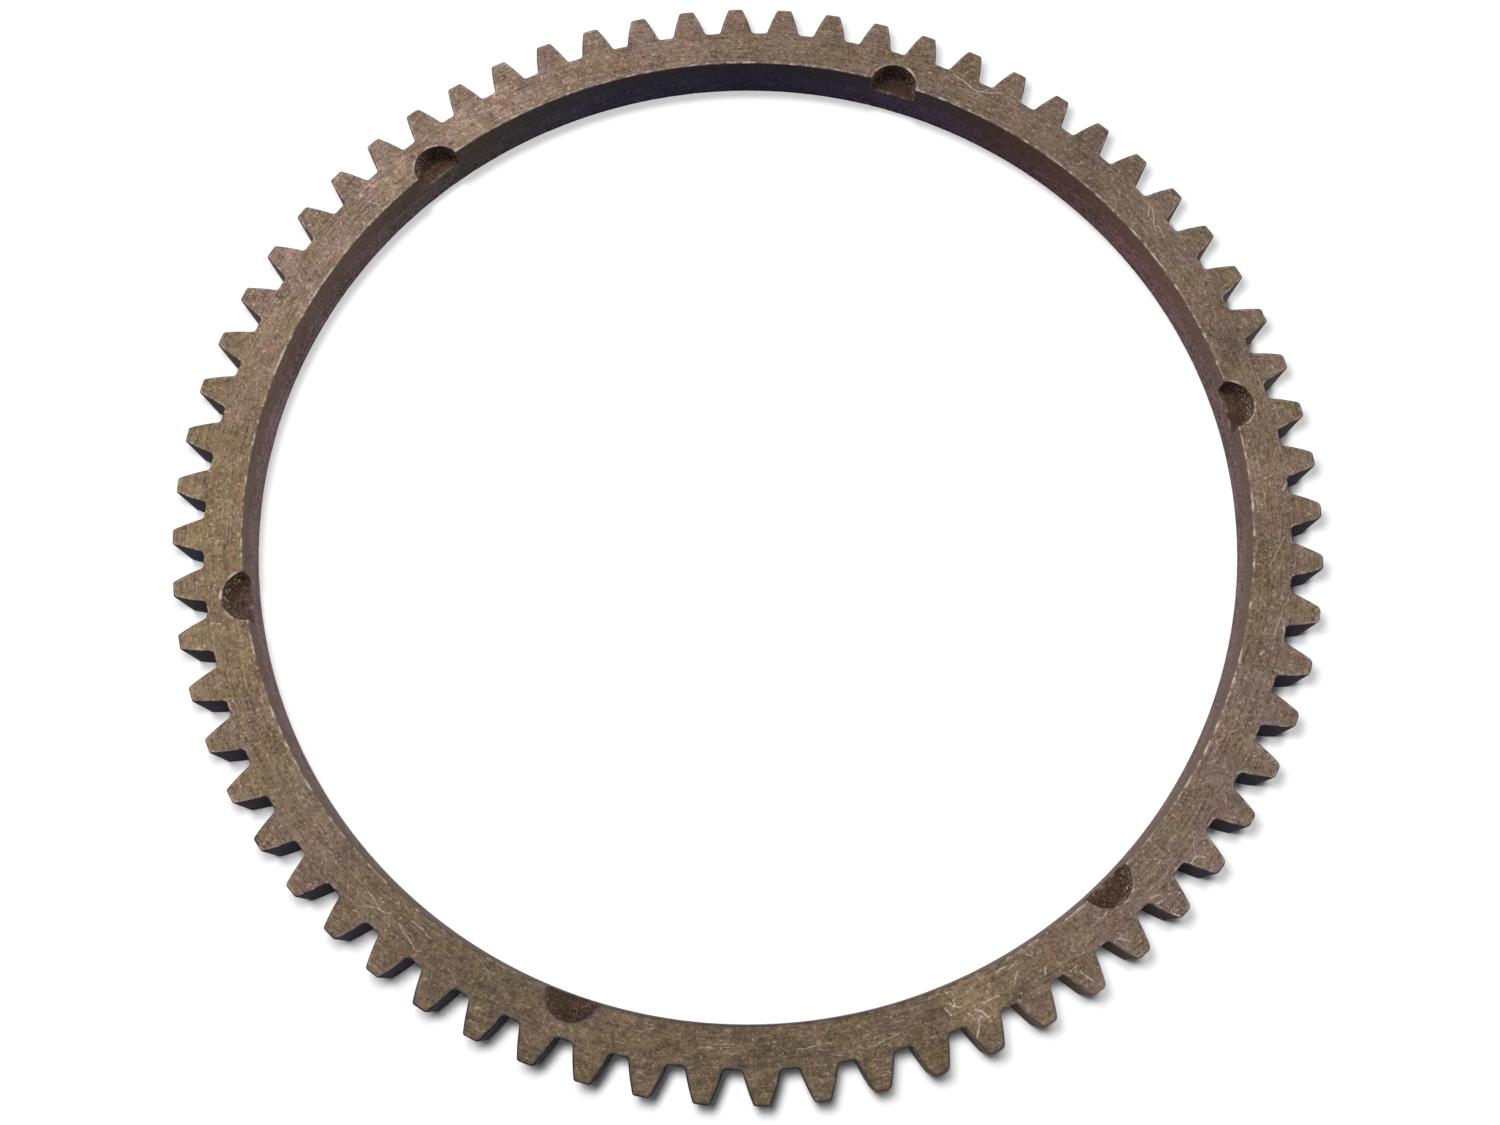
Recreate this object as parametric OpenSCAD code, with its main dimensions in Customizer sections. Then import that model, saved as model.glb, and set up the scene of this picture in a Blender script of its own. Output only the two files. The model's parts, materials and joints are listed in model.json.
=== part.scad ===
// Flywheel ring gear, lying on its lower face with its axis on Z.
// One turned steel ring with stub involute teeth cut right across its rim
// and half-round screw pockets sunk into the upper edge of its bore.
// Lengths are in millimetres and angles in degrees.

/* [Ring] */
// Radial width of the rim, from the bore to the roots of the teeth
rim_w = 7.2; // [5:0.1:11]
// Thickness of the ring, which is also the face width of the teeth
ring_t = 9.8; // [7:0.1:16]
// Edge break on both rims of the bore
bore_break = 0.25; // [0.05:0.05:0.8]

/* [Teeth] */
// Number of teeth
teeth = 66; // [40:1:120]
// Pitch diameter divided by the number of teeth
tooth_module = 3.175; // [2.5:0.005:4]
// Height of the stub tooth above the pitch circle
addendum = 2.54; // [1.8:0.01:3]
// Depth of the tooth space below the pitch circle
dedendum = 3.175; // [2.4:0.005:3.6]
// Pressure angle of the flanks at the pitch circle
pressure_angle = 20; // [17:0.5:25]
// How much thinner each tooth is than half the circular pitch
tooth_thinning = 0.2; // [0:0.05:0.6]
// Radius of the rounded corners along each tooth tip
tip_round = 0.55; // [0.1:0.05:0.9]
// Radius of the fillets at each tooth root
root_fillet = 0.8; // [0.2:0.05:1.2]
// Edge break on both ends of each tooth tip
tip_break = 0.25; // [0.05:0.05:0.8]

/* [Pockets] */
// Number of half-round pockets around the bore
pockets = 6; // [3:1:12]
// Diameter of each pocket
pocket_d = 9.4; // [5:0.1:11]
// Depth of each pocket below the upper face
pocket_depth = 4.2; // [1.5:0.1:6]
// Radius between the wall and the floor of each pocket
pocket_floor_round = 0.9; // [0.1:0.1:1.4]
// How far the pocket centres stand outside the bore wall
pocket_offset = -0.4; // [-1:0.1:1]
// Angle from the tooth on the X axis to the first pocket
pocket_start = 12.9; // [0:0.1:60]

/* [Hidden] */
$fn = 96;

pitch_r = teeth * tooth_module / 2;
tip_r = pitch_r + addendum;
root_r = pitch_r - dedendum;
bore_r = root_r - rim_w; // the bore is shrunk onto the flywheel
base_r = pitch_r * cos(pressure_angle);
tooth_pitch = 360 / teeth;
pocket_r = pocket_d / 2;
cut_clear = 1; // how far a cutter runs past the face that it opens

flank_steps = 4; // straight steps along the involute of one flank
fillet_steps = 4; // straight steps round one root fillet
round_steps = 3; // straight steps round one tip corner

// Involute function, in degrees
function inv(a) = tan(a) * 180 / PI - a;

// Half of the tooth's width at the pitch circle, as an angle
half_tooth = (PI * tooth_module / 2 - tooth_thinning) / (2 * pitch_r) * 180 / PI;

// Angle at which the lower flank's involute leaves the base circle
base_angle = -(half_tooth + inv(pressure_angle));

// Point at radius r and angle a
function polar(r, a) = [r * cos(a), r * sin(a)];

// Length of the line from the base circle that ends at radius r
function roll(r) = sqrt(r * r - base_r * base_r);

// Angle on the base circle where the line of length s touches it
function touch(s) = base_angle + s / base_r * 180 / PI;

// Point of the line that touches the base circle at angle t, at length s
function on_line(t, s) = polar(base_r, t) + polar(s, t - 90);

// Point of the flank where that line has length s
function flank(s) = on_line(touch(s), s);

// Points of an arc about c from angle a to angle b
function arc(c, r, a, b, steps) = [for (i = [0 : steps]) c + polar(r, a + (b - a) * i / steps)];

// Root fillet: it touches the root circle and the flank
fillet_line = roll(root_r + root_fillet);
fillet_end = fillet_line - root_fillet;
fillet_touch = touch(fillet_end);
fillet_centre = on_line(fillet_touch, fillet_line);
fillet_arc = arc(fillet_centre, root_fillet,
                 atan2(fillet_centre.y, fillet_centre.x) - 180, fillet_touch - 270, fillet_steps);

// Tip corner: it touches the flank and the tip circle
corner_line = roll(tip_r - tip_round);
corner_start = corner_line + tip_round;
corner_touch = touch(corner_start);
corner_centre = on_line(corner_touch, corner_line);
corner_arc = arc(corner_centre, tip_round,
                 corner_touch - 90, atan2(corner_centre.y, corner_centre.x), round_steps);

// Involute between the two arcs, without its ends
flank_points = [for (i = [1 : flank_steps - 1])
    flank(fillet_end + (corner_start - fillet_end) * i / flank_steps)];

// Lower half of one tooth about the X axis, from root to tip, and its mirror image
half_outline = concat(fillet_arc, flank_points, corner_arc);
tooth_outline = concat(half_outline,
                       [for (i = [len(half_outline) - 1 : -1 : 0]) [half_outline[i].x, -half_outline[i].y]]);

// Point p turned by the angle a about the axis
function turned(p, a) = [p.x * cos(a) - p.y * sin(a), p.x * sin(a) + p.y * cos(a)];

// Outline of the whole gear
module gear_outline() {
    polygon([for (k = [0 : teeth - 1], p = tooth_outline) turned(p, k * tooth_pitch)]);
}

// Turned blank: its section carries the edge breaks of the bore and of the tips
module blank() {
    $fn = 360;
    rotate_extrude()
        polygon([
            [bore_r + bore_break, 0],
            [tip_r - tip_break, 0],
            [tip_r, tip_break],
            [tip_r, ring_t - tip_break],
            [tip_r - tip_break, ring_t],
            [bore_r + bore_break, ring_t],
            [bore_r, ring_t - bore_break],
            [bore_r, bore_break]
        ]);
}

// Cutter of one pocket, standing on the pocket's floor
module pocket_cutter() {
    corner = [pocket_r - pocket_floor_round, pocket_floor_round];
    rotate_extrude()
        polygon(concat(
            [[0, 0]],
            arc(corner, pocket_floor_round, -90, 0, 6),
            [[pocket_r, pocket_depth + cut_clear], [0, pocket_depth + cut_clear]]
        ));
}

// All pockets, sunk from the upper face
module pocket_ring() {
    for (k = [0 : pockets - 1])
        rotate(pocket_start + k * 360 / pockets)
            translate([bore_r + pocket_offset, 0, ring_t - pocket_depth])
                pocket_cutter();
}

// The ring gear in one piece
module ring_gear() {
    color([0.46, 0.40, 0.34])
        difference() {
            intersection() {
                blank();
                linear_extrude(ring_t) gear_outline();
            }
            pocket_ring();
        }
}

ring_gear();
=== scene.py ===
"""Flywheel ring gear lying on a pale floor.

The gear lies on its lower face with its axis on Z and the middle of one tooth on +X.
Sizes in the classes are millimetres and degrees, and the meshes are in metres.
"""

import json
import logging
import math
from dataclasses import dataclass, field
from enum import Enum

import bmesh
import bpy
from mathutils import Matrix, Vector, noise


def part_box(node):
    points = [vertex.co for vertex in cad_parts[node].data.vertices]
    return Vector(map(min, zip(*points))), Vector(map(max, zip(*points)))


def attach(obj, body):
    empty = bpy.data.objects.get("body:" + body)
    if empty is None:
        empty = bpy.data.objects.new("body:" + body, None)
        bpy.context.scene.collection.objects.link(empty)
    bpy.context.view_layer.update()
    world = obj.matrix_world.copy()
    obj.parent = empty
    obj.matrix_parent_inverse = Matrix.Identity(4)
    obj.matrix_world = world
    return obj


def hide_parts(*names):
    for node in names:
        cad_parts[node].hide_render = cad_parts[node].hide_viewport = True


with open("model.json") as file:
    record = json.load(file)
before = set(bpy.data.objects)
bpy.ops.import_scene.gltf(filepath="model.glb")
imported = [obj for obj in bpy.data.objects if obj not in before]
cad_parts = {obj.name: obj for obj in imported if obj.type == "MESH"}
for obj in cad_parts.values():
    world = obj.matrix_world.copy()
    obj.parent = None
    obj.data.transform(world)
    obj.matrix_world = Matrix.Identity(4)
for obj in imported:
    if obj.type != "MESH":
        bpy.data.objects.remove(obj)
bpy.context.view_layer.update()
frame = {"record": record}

log = logging.getLogger("ring_gear")

MM = 0.001

# Pixels of the photograph's frame, and the width of the camera's sensor in millimetres
FRAME_SIZE = (1500, 1125)
SENSOR_WIDTH = 36.0

# Along Y, where the shaded front of the gear ends and its back begins: worn edges are painted dark at the
# front as painted shade, and painted bright at the back as rubbed metal with a painted highlight
FRONT_END = -100.0
REAR_START = -70.0

# Numbers that set the wear of one edge apart from that of the others
UPPER_RIM = 3.0
LOWER_RIM = 53.0
UPPER_BORE = 91.0
LOWER_BORE = 131.0

Point = tuple[float, float]
Colour = tuple[float, float, float]


class Zone(Enum):
    """Kinds of surface on the gear, each with its own finish."""

    FACE = 0
    FLANK = 1
    BORE = 2
    POCKET = 3


# Plane geometry


def polar(radius: float, angle: float) -> Point:
    """Return the point at a radius and an angle in degrees."""
    turn = math.radians(angle)
    return (radius * math.cos(turn), radius * math.sin(turn))


def plus(a: Point, b: Point) -> Point:
    """Return the sum of two points."""
    return (a[0] + b[0], a[1] + b[1])


def arc(centre: Point, radius: float, start: float, end: float, steps: int) -> list[Point]:
    """Return the points of an arc.

    Args:
        centre: Centre of the arc.
        radius: Radius of the arc.
        start: Angle of the first point in degrees.
        end: Angle of the last point in degrees.
        steps: Number of straight steps.

    Returns:
        The points from start to end, both included.
    """
    return [plus(centre, polar(radius, start + (end - start) * i / steps)) for i in range(steps + 1)]


def heading(point: Point) -> float:
    """Return the angle of a point about the axis in degrees."""
    return math.degrees(math.atan2(point[1], point[0]))


def corner_normals(loop: list[Point], side: float) -> list[Point]:
    """Return the direction into the metal at each point of a closed loop.

    Args:
        loop: Points of the loop, anticlockwise.
        side: 1 where the metal is on the left of the loop, -1 where it is on the right.

    Returns:
        One vector a point, lengthened at corners so that a move along it insets both sides by 1.
    """
    result = []
    count = len(loop)
    for i, here in enumerate(loop):
        before = Vector(here) - Vector(loop[i - 1])
        after = Vector(loop[(i + 1) % count]) - Vector(here)
        first = Vector((-before.y, before.x)).normalized() * side
        second = Vector((-after.y, after.x)).normalized() * side
        middle = (first + second).normalized()
        reach = 1 / max(0.6, middle.dot(first))
        result.append((middle.x * reach, middle.y * reach))
    return result


# Shape of the gear


@dataclass
class ToothForm:
    """Sizes of the stub involute teeth, in millimetres and degrees."""

    teeth: int = 66
    module: float = 3.175
    addendum: float = 2.54
    dedendum: float = 3.175
    pressure_angle: float = 20.0
    thinning: float = 0.2
    tip_round: float = 0.55
    worn_round: float = 1.1
    worn_middle: float = 327.0
    worn_reach: float = 54.0
    root_fillet: float = 0.8
    fillet_steps: int = 5
    flank_steps: int = 8
    corner_steps: int = 5
    land_steps: int = 4

    @property
    def pitch_r(self) -> float:
        """Radius of the pitch circle."""
        return self.teeth * self.module / 2

    @property
    def tip_r(self) -> float:
        """Radius over the tooth tips."""
        return self.pitch_r + self.addendum

    @property
    def root_r(self) -> float:
        """Radius of the tooth roots."""
        return self.pitch_r - self.dedendum

    @property
    def base_r(self) -> float:
        """Radius of the circle that the involutes leave."""
        return self.pitch_r * math.cos(math.radians(self.pressure_angle))

    def roll(self, radius: float) -> float:
        """Return the length of the line from the base circle that ends at a radius."""
        return math.sqrt(radius**2 - self.base_r**2)

    def touch(self, length: float) -> float:
        """Return the angle on the base circle where the line of that length touches it."""
        slope = math.radians(self.pressure_angle)
        half = (math.pi * self.module / 2 - self.thinning) / (2 * self.pitch_r)
        start = -(half + math.tan(slope) - slope)
        return math.degrees(start + length / self.base_r)

    def on_line(self, angle: float, length: float) -> Point:
        """Return the point of the line that touches the base circle at an angle."""
        return plus(polar(self.base_r, angle), polar(length, angle - 90))

    def tip_rounding(self, angle: float) -> float:
        """Return the radius of a tooth's tip corners, larger where the starter has worn the teeth."""
        away = abs((angle - self.worn_middle + 180) % 360 - 180)
        share = min(1.0, max(0.0, (self.worn_reach - away) / 12.0))
        return self.tip_round + (self.worn_round - self.tip_round) * share

    def half_tooth(self, tip_round: float) -> list[Point]:
        """Return the lower half of a tooth laid on the X axis, from root to tip."""
        fillet_line = self.roll(self.root_r + self.root_fillet)
        fillet_end = fillet_line - self.root_fillet
        fillet_touch = self.touch(fillet_end)
        centre = self.on_line(fillet_touch, fillet_line)
        root = arc(centre, self.root_fillet, heading(centre) - 180, fillet_touch - 270, self.fillet_steps)

        corner_line = self.roll(self.tip_r - tip_round)
        corner_start = corner_line + tip_round
        corner_touch = self.touch(corner_start)
        centre = self.on_line(corner_touch, corner_line)
        tip = arc(centre, tip_round, corner_touch - 90, heading(centre), self.corner_steps)

        flank = []
        for i in range(1, self.flank_steps):
            length = fillet_end + (corner_start - fillet_end) * i / self.flank_steps
            flank.append(self.on_line(self.touch(length), length))
        return root + flank + tip

    def divided(self, radius: float, start: float, span: float) -> list[Point]:
        """Return the points that divide an arc about the axis, without its ends."""
        steps = self.land_steps
        return [polar(radius, start + span * i / steps) for i in range(1, steps)]

    def outline(self) -> list[Point]:
        """Return the outline of the whole gear, anticlockwise from a tooth root."""
        pitch = 360 / self.teeth
        loop = []
        for k in range(self.teeth):
            half = self.half_tooth(self.tip_rounding(k * pitch))
            land = heading(half[-1])
            tip = self.divided(self.tip_r, land, -2 * land)
            tooth = half + tip + [(x, -y) for x, y in reversed(half)]
            start = heading(tooth[-1])
            root = self.divided(self.root_r, start, pitch - 2 * start)
            turn = math.radians(k * pitch)
            cosine = math.cos(turn)
            sine = math.sin(turn)
            for x, y in tooth + root:
                loop.append((x * cosine - y * sine, x * sine + y * cosine))
        return loop


@dataclass
class PocketForm:
    """Sizes of the half-round pockets in the bore's upper edge."""

    count: int = 6
    radius: float = 4.7
    depth: float = 4.2
    floor_round: float = 0.9
    offset: float = -0.4
    start: float = 12.9
    ragged: float = 0.07
    sag: float = 0.14
    arc_steps: int = 48
    round_steps: int = 5

    def angle(self, index: int) -> float:
        """Return the angle of a pocket about the axis."""
        return self.start + 360 * index / self.count


@dataclass
class WornEdge:
    """How the edges of the metal are rounded by wear."""

    round_mm: float = 0.2
    wander: float = 0.55
    chip_mm: float = 0.42
    chip_share: float = 0.12
    band: float = 0.32
    steps: int = 3
    # How strongly each row of a worn edge is marked, from the wall to the face; the finishes paint the marks
    # as painted shade at the front of the ring and as rubbed metal with a painted highlight at its back
    marks: tuple[float, ...] = (0.4, 1.0, 1.0, 0.7)
    bore_mark: float = 0.55

    def radius(self, point: Point, seed: float) -> float:
        """Return the radius of the worn edge at a place.

        Args:
            point: Place on the edge, in millimetres.
            seed: Number that sets this edge apart from the others.

        Returns:
            The radius in millimetres.
        """
        spot = Vector((point[0] * 0.55, point[1] * 0.55, seed))
        wave = noise.noise(spot)
        fine = noise.noise(Vector((point[0] * 2.1, point[1] * 2.1, seed + 7)))
        size = self.round_mm * (1 + self.wander * wave + 0.35 * fine)
        chip = noise.noise(Vector((point[0] * 0.9, point[1] * 0.9, seed + 31)))
        limit = 1 - 2 * self.chip_share
        if chip > limit * 0.62:
            size += (chip - limit * 0.62) * self.chip_mm
        return max(0.06, size)


class Metal:
    """Gathers the patches of one closed mesh."""

    def __init__(self) -> None:
        """Start with no points and no faces."""
        self.points: list[Vector] = []
        self.worn: list[float] = []
        self.faces: list[tuple[list[int], Zone, bool]] = []

    def row(self, places: list[tuple[float, float, float]], worn: float) -> list[int]:
        """Add a row of points.

        Args:
            places: Coordinates of the points in millimetres.
            worn: How strongly the row is marked as a worn edge, from 0 to 1; the finishes paint these marks
                as painted shade at the front of the ring and as rubbed metal with a painted highlight at its
                back.

        Returns:
            The indices of the new points.
        """
        first = len(self.points)
        self.points.extend(Vector(p) * MM for p in places)
        self.worn.extend([worn] * len(places))
        return list(range(first, len(self.points)))

    def skin(self, rows: list[list[int]], closed: bool, zone: Zone, smooth: bool = True) -> None:
        """Span faces between rows of equally many points.

        Args:
            rows: Rows of point indices.
            closed: Whether each row closes on itself.
            zone: Finish of the faces.
            smooth: Whether the faces are shaded smooth.
        """
        for a, b in zip(rows, rows[1:]):
            last = len(a) if closed else len(a) - 1
            for i in range(last):
                j = (i + 1) % len(a)
                self.faces.append(([a[i], a[j], b[j], b[i]], zone, smooth))

    def zip_rings(self, outer: list[int], inner: list[int], zone: Zone) -> None:
        """Fill the flat band between two rings that divide the circle differently.

        Args:
            outer: Point indices of the outer ring, anticlockwise.
            inner: Point indices of the inner ring, anticlockwise.
            zone: Finish of the faces.
        """
        outer_turns = self.turns(outer)
        inner_turns = self.turns(inner)
        start = outer_turns[0]
        begin = min(range(len(inner)), key=lambda k: abs((inner_turns[k] - start + 180) % 360 - 180))
        inner = inner[begin:] + inner[:begin]
        inner_turns = self.turns(inner)
        shift = round((inner_turns[0] - start) / 360) * 360
        inner_turns = [t - shift for t in inner_turns]
        i = 0
        j = 0
        while i < len(outer) or j < len(inner):
            next_outer = outer_turns[i + 1] if i < len(outer) else math.inf
            next_inner = inner_turns[j + 1] if j < len(inner) else math.inf
            a = outer[i % len(outer)]
            b = inner[j % len(inner)]
            if next_outer <= next_inner:
                self.faces.append(([a, outer[(i + 1) % len(outer)], b], zone, False))
                i += 1
            else:
                self.faces.append(([a, inner[(j + 1) % len(inner)], b], zone, False))
                j += 1

    def turns(self, ring: list[int]) -> list[float]:
        """Return the growing angles of a ring's points, closed by the first one a turn later."""
        result = [heading((self.points[ring[0]].x, self.points[ring[0]].y))]
        for index in ring[1:]:
            angle = heading((self.points[index].x, self.points[index].y))
            result.append(result[-1] + (angle - result[-1] + 180) % 360 - 180)
        result.append(result[0] + 360)
        return result

    def build(self, name: str, sharp: float) -> bpy.types.Object:
        """Weld the patches into one object.

        Args:
            name: Name of the object.
            sharp: Angle in degrees above which an edge is shaded sharp.

        Returns:
            The object, linked to the scene.
        """
        mesh = bpy.data.meshes.new(name)
        mesh.from_pydata(self.points, [], [face for face, _, _ in self.faces])
        for polygon, (_, zone, smooth) in zip(mesh.polygons, self.faces):
            polygon.material_index = zone.value
            polygon.use_smooth = smooth
        layer = mesh.attributes.new("worn", "FLOAT", "POINT")
        layer.data.foreach_set("value", self.worn)
        work = bmesh.new()
        work.from_mesh(mesh)
        bmesh.ops.remove_doubles(work, verts=work.verts, dist=0.0004 * MM)
        bmesh.ops.dissolve_degenerate(work, edges=work.edges, dist=0.001 * MM)
        bmesh.ops.recalc_face_normals(work, faces=work.faces)
        loose = [edge for edge in work.edges if len(edge.link_faces) != 2]
        log.info("%s: %d faces, %d open edges", name, len(work.faces), len(loose))
        work.to_mesh(mesh)
        work.free()
        mesh.set_sharp_from_angle(angle=math.radians(sharp))
        piece = bpy.data.objects.new(name, mesh)
        bpy.context.scene.collection.objects.link(piece)
        return piece


@dataclass
class RingGear:
    """The gear: a turned ring with teeth on its rim and pockets in its bore."""

    thickness: float
    bore_r: float
    teeth: ToothForm = field(default_factory=ToothForm)
    pockets: PocketForm = field(default_factory=PocketForm)
    edge: WornEdge = field(default_factory=WornEdge)
    bore_step: float = 0.75
    middle_circle: float = 100.1
    middle_steps: int = 720

    def mesh(self) -> bpy.types.Object:
        """Build the whole gear.

        Returns:
            The gear as one closed object.
        """
        metal = Metal()
        outline = self.teeth.outline()
        top_out, low_out = self.rim(metal, outline)
        top_in = self.bore_edge(metal)
        low_in = self.bore_wall(metal)
        self.flat(metal, top_out, top_in, self.thickness)
        self.flat(metal, low_out, low_in, 0.0)
        return metal.build("ring_gear_steel", 38.0)

    def bevel(
        self, loop: list[Point], normals: list[Point], sizes: list[float], top: bool
    ) -> list[tuple[list[tuple[float, float, float]], float]]:
        """Return the rows of a worn edge, from the wall to the flat face.

        Args:
            loop: Points of the sharp edge.
            normals: Directions into the metal.
            sizes: Radius of the edge at each point.
            top: Whether the flat face is the upper one.

        Returns:
            Pairs of places and worn-edge marks.
        """
        rows = []
        for step in range(self.edge.steps + 1):
            turn = math.pi / 2 * step / self.edge.steps
            places = []
            for (x, y), (nx, ny), size in zip(loop, normals, sizes):
                inset = size * (1 - math.cos(turn))
                rest = size * (1 - math.sin(turn))
                places.append((x + nx * inset, y + ny * inset, self.thickness - rest if top else rest))
            rows.append((places, self.edge.marks[step]))
        places = []
        for (x, y), (nx, ny), size in zip(loop, normals, sizes):
            inset = size + self.edge.band
            places.append((x + nx * inset, y + ny * inset, self.thickness if top else 0.0))
        rows.append((places, 0.0))
        return rows

    def rim(self, metal: Metal, outline: list[Point]) -> tuple[list[int], list[int]]:
        """Build the toothed rim.

        Args:
            metal: Mesh to add to.
            outline: Outline of the teeth.

        Returns:
            The innermost rows on the upper and the lower face.
        """
        normals = corner_normals(outline, 1)
        upper = [self.edge.radius(p, UPPER_RIM) for p in outline]
        lower = [self.edge.radius(p, LOWER_RIM) for p in outline]
        top_rows = self.bevel(outline, normals, upper, True)
        low_rows = self.bevel(outline, normals, lower, False)
        rows = [metal.row(places, worn) for places, worn in reversed(low_rows)]
        for share in (0.0, 0.3, 0.7, 1.0):
            places = []
            for (x, y), top, low in zip(outline, upper, lower):
                start = low + self.edge.band
                end = self.thickness - top - self.edge.band
                places.append((x, y, start + (end - start) * share))
            rows.append(metal.row(places, 0.0))
        rows += [metal.row(places, worn) for places, worn in top_rows]
        metal.skin(rows[:2], True, Zone.FACE, False)
        metal.skin(rows[1:-1], True, Zone.FLANK)
        metal.skin(rows[-2:], True, Zone.FACE, False)
        return rows[-1], rows[0]

    def pocket_centre(self, index: int) -> Point:
        """Return the centre of a pocket."""
        return polar(self.bore_r + self.pockets.offset, self.pockets.angle(index))

    @property
    def mouth(self) -> float:
        """Angle about a pocket's centre where its wall meets the bore."""
        far = self.bore_r + self.pockets.offset
        wide = self.pockets.radius
        return math.degrees(math.acos((self.bore_r**2 - far**2 - wide**2) / (2 * far * wide)))

    def pocket_ring(self, index: int, radius: float, ragged: float = 0.0) -> list[Point]:
        """Return the points of an arc about a pocket's centre, kept out of the bore.

        Args:
            index: Number of the pocket.
            radius: Radius of the arc.
            ragged: How far the arc may wander.

        Returns:
            The points, anticlockwise about the gear's axis.
        """
        centre = self.pocket_centre(index)
        steps = self.pockets.arc_steps
        points = []
        for k in range(steps + 1):
            turn = -self.mouth + 2 * self.mouth * k / steps
            calm = math.sin(math.pi * k / steps)
            wander = ragged * calm * noise.noise(Vector((k * 0.45, index * 9.1, 2.0)))
            x, y = plus(centre, polar(radius + wander, self.pockets.angle(index) + turn))
            out = max(1.0, self.bore_r / math.hypot(x, y))
            points.append((x * out, y * out))
        return points

    def stretch(self, index: int) -> list[Point]:
        """Return the bore's points from one pocket to the next, with both ends."""
        start = self.pocket_ring(index, self.pockets.radius)[-1]
        end = self.pocket_ring(index + 1, self.pockets.radius)[0]
        first = heading(start)
        span = (heading(end) - first) % 360
        steps = round(span / self.bore_step)
        inner = [polar(self.bore_r, first + span * i / steps) for i in range(1, steps)]
        return [start] + inner + [end]

    def levels(self, top_size: float, low_size: float) -> list[tuple[float, float]]:
        """Return the heights of the bore wall's rows with their worn-edge marks, from the top down."""
        floor = self.thickness - self.pockets.depth
        shoulder = floor + self.pockets.floor_round
        return [
            (self.thickness - top_size, self.edge.bore_mark),
            (self.thickness - top_size - self.edge.band, 0.0),
            ((self.thickness + shoulder) / 2, 0.0),
            (shoulder, 0.0),
            (floor * 0.8, 0.0),
            (floor * 0.4, 0.0),
            (low_size + self.edge.band, 0.0),
            (low_size, self.edge.bore_mark),
        ]

    def bore_edge(self, metal: Metal) -> list[int]:
        """Build the upper edge of the bore with the pockets' rims, and the pockets.

        Args:
            metal: Mesh to add to.

        Returns:
            The outermost row on the upper face.
        """
        loop: list[Point] = []
        starts = []
        for index in range(self.pockets.count):
            starts.append(len(loop))
            loop += self.pocket_ring(index, self.pockets.radius, self.pockets.ragged)
            loop += self.stretch(index)[1:-1]
        normals = corner_normals(loop, -1)
        sizes = [self.edge.radius(p, UPPER_BORE) for p in loop]
        rows = [metal.row(places, worn) for places, worn in self.bevel(loop, normals, sizes, True)]
        metal.skin(rows[:-1], True, Zone.FACE)
        metal.skin(rows[-2:], True, Zone.FACE, False)
        for index, start in enumerate(starts):
            self.pocket(metal, index, sizes[start : start + self.pockets.arc_steps + 1])
        return rows[-1]

    def pocket(self, metal: Metal, index: int, sizes: list[float]) -> None:
        """Build the wall and the floor of one pocket.

        Args:
            metal: Mesh to add to.
            index: Number of the pocket.
            sizes: Radius of the worn rim at each point of the arc.
        """
        form = self.pockets
        floor = self.thickness - form.depth
        rim = self.pocket_ring(index, form.radius, form.ragged)
        rows = []
        for level in range(4):
            places = []
            worn = 0.0
            for (x, y), size in zip(rim, sizes):
                height, worn = self.levels(size, size)[level]
                places.append((x, y, height))
            rows.append(metal.row(places, worn))
        for step in range(1, form.round_steps + 1):
            turn = math.pi / 2 * step / form.round_steps
            radius = form.radius - form.floor_round * (1 - math.cos(turn))
            height = floor + form.floor_round * (1 - math.sin(turn))
            ring = self.pocket_ring(index, radius, form.ragged * (1 - step / form.round_steps))
            rows.append(metal.row([(x, y, height) for x, y in ring], 0.0))
        inner = self.pocket_ring(index, form.radius - form.floor_round)
        mouth = self.mouth_points(index)
        for share in (0.35, 0.7, 0.93, 1.0):
            places = []
            for k, (a, b) in enumerate(zip(inner, mouth)):
                calm = math.sin(math.pi * k / form.arc_steps)
                drop = form.sag * calm if share == 1.0 else 0.0
                places.append((a[0] + (b[0] - a[0]) * share, a[1] + (b[1] - a[1]) * share, floor - drop))
            rows.append(metal.row(places, 0.7 if share > 0.9 else 0.0))
        metal.skin(rows, False, Zone.POCKET)

    def mouth_points(self, index: int) -> list[Point]:
        """Return the points where a pocket's floor ends at the bore."""
        inner = self.pocket_ring(index, self.pockets.radius - self.pockets.floor_round)
        first = heading(inner[0])
        span = (heading(inner[-1]) - first + 180) % 360 - 180
        steps = self.pockets.arc_steps
        return [polar(self.bore_r, first + span * k / steps) for k in range(steps + 1)]

    def bore_wall(self, metal: Metal) -> list[int]:
        """Build the bore wall and the lower edge of the bore.

        Args:
            metal: Mesh to add to.

        Returns:
            The outermost row on the lower face.
        """
        form = self.pockets
        floor = self.thickness - form.depth
        circle: list[Point] = []
        for index in range(form.count):
            corners = self.mouth_corner(index)
            mouth = self.mouth_points(index)
            under = [(p, z) for p, z in corners[0]]
            for k in range(1, form.arc_steps):
                under.append((mouth[k], floor - form.sag * math.sin(math.pi * k / form.arc_steps)))
            under += [(p, z) for p, z in reversed(corners[1])]
            low = [self.edge.radius(p, LOWER_BORE) for p, _ in under]
            columns = []
            for (point, top), size in zip(under, low):
                heights = [height for height, _ in self.levels(size, size)[4:]]
                columns.append([(point[0], point[1], height) for height in [top] + heights])
            marks = (0.6, 0.0, 0.0, 0.0, self.edge.bore_mark)
            rows = [metal.row([column[level] for column in columns], marks[level]) for level in range(5)]
            metal.skin(rows, False, Zone.BORE)
            circle += [p for p, _ in under]

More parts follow.
